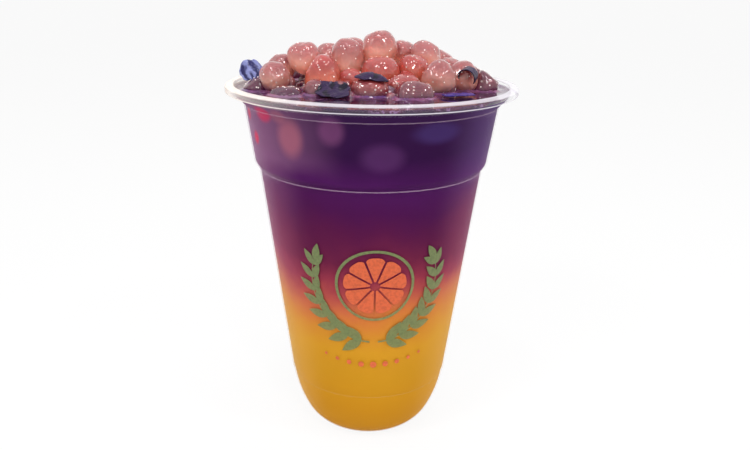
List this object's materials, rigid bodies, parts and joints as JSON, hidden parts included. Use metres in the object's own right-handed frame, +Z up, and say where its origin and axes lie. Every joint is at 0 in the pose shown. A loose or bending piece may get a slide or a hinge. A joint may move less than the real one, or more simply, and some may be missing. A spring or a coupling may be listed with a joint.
{
  "type": "fruit tea",
  "caption": "Layered fruit tea, orange under violet, in a clear frosted plastic cup with a rolled rim and a round heel, heaped with rounded lumps of ice and wet flower petals.",
  "frame": {"origin": "on the table, at the middle of the cup's foot", "axes": "+Z up through the cup's axis; -Y is the printed front; +X is to the right of the front"},
  "size_m": [0.095, 0.095, 0.1386],
  "materials": {
    "cup_plastic": "frosted see-through polypropylene, about 0.8 mm thick, milky at its edges and rolled rim",
    "citrus_tea": "cloudy orange-yellow drink, the lowest of three layers",
    "blended_tea": "cloudy rose drink where the orange and the violet layers run together",
    "violet_tea": "deep violet tea, wet surface, uneven and darker in patches",
    "ice": "wet rounded ice stained peach and pink by the drink, cloudy inside, glossy, with tiny bright sparkles",
    "packed_ice": "ice and drink packed together under the lumps, dark pink to violet, wet",
    "petal": "wet dark blue-violet flower petal, wrinkled, with a pale sheen"
  },
  "bodies": {
    "root": {"blended_layer": "blended_tea", "citrus_layer": "citrus_tea", "cup": "cup_plastic", "ice_01": "ice", "ice_02": "ice", "ice_03": "ice", "ice_04": "ice", "ice_05": "ice", "ice_06": "ice", "ice_07": "ice", "ice_08": "ice", "ice_09": "ice", "ice_10": "ice", "ice_11": "ice", "ice_12": "ice", "ice_13": "ice", "ice_14": "ice", "ice_15": "ice", "ice_16": "ice", "ice_17": "ice", "ice_18": "ice", "ice_19": "ice", "ice_20": "ice", "ice_21": "ice", "ice_22": "ice", "ice_23": "ice", "ice_24": "ice", "ice_25": "ice", "ice_26": "ice", "ice_27": "ice", "ice_28": "ice", "ice_29": "ice", "ice_30": "ice", "ice_31": "ice", "ice_32": "ice", "ice_33": "ice", "ice_34": "ice", "ice_35": "ice", "ice_36": "ice", "ice_37": "ice", "ice_38": "ice", "ice_39": "ice", "ice_40": "ice", "ice_41": "ice", "ice_42": "ice", "ice_43": "ice", "ice_44": "ice", "ice_45": "ice", "ice_46": "ice", "ice_47": "ice", "ice_core": "packed_ice", "petal_cap": "petal", "petal_dark": "petal", "petal_floating": "petal", "petal_looped": "petal", "petal_wrinkled": "petal", "tea_layer": "violet_tea"}
  },
  "joints": []
}
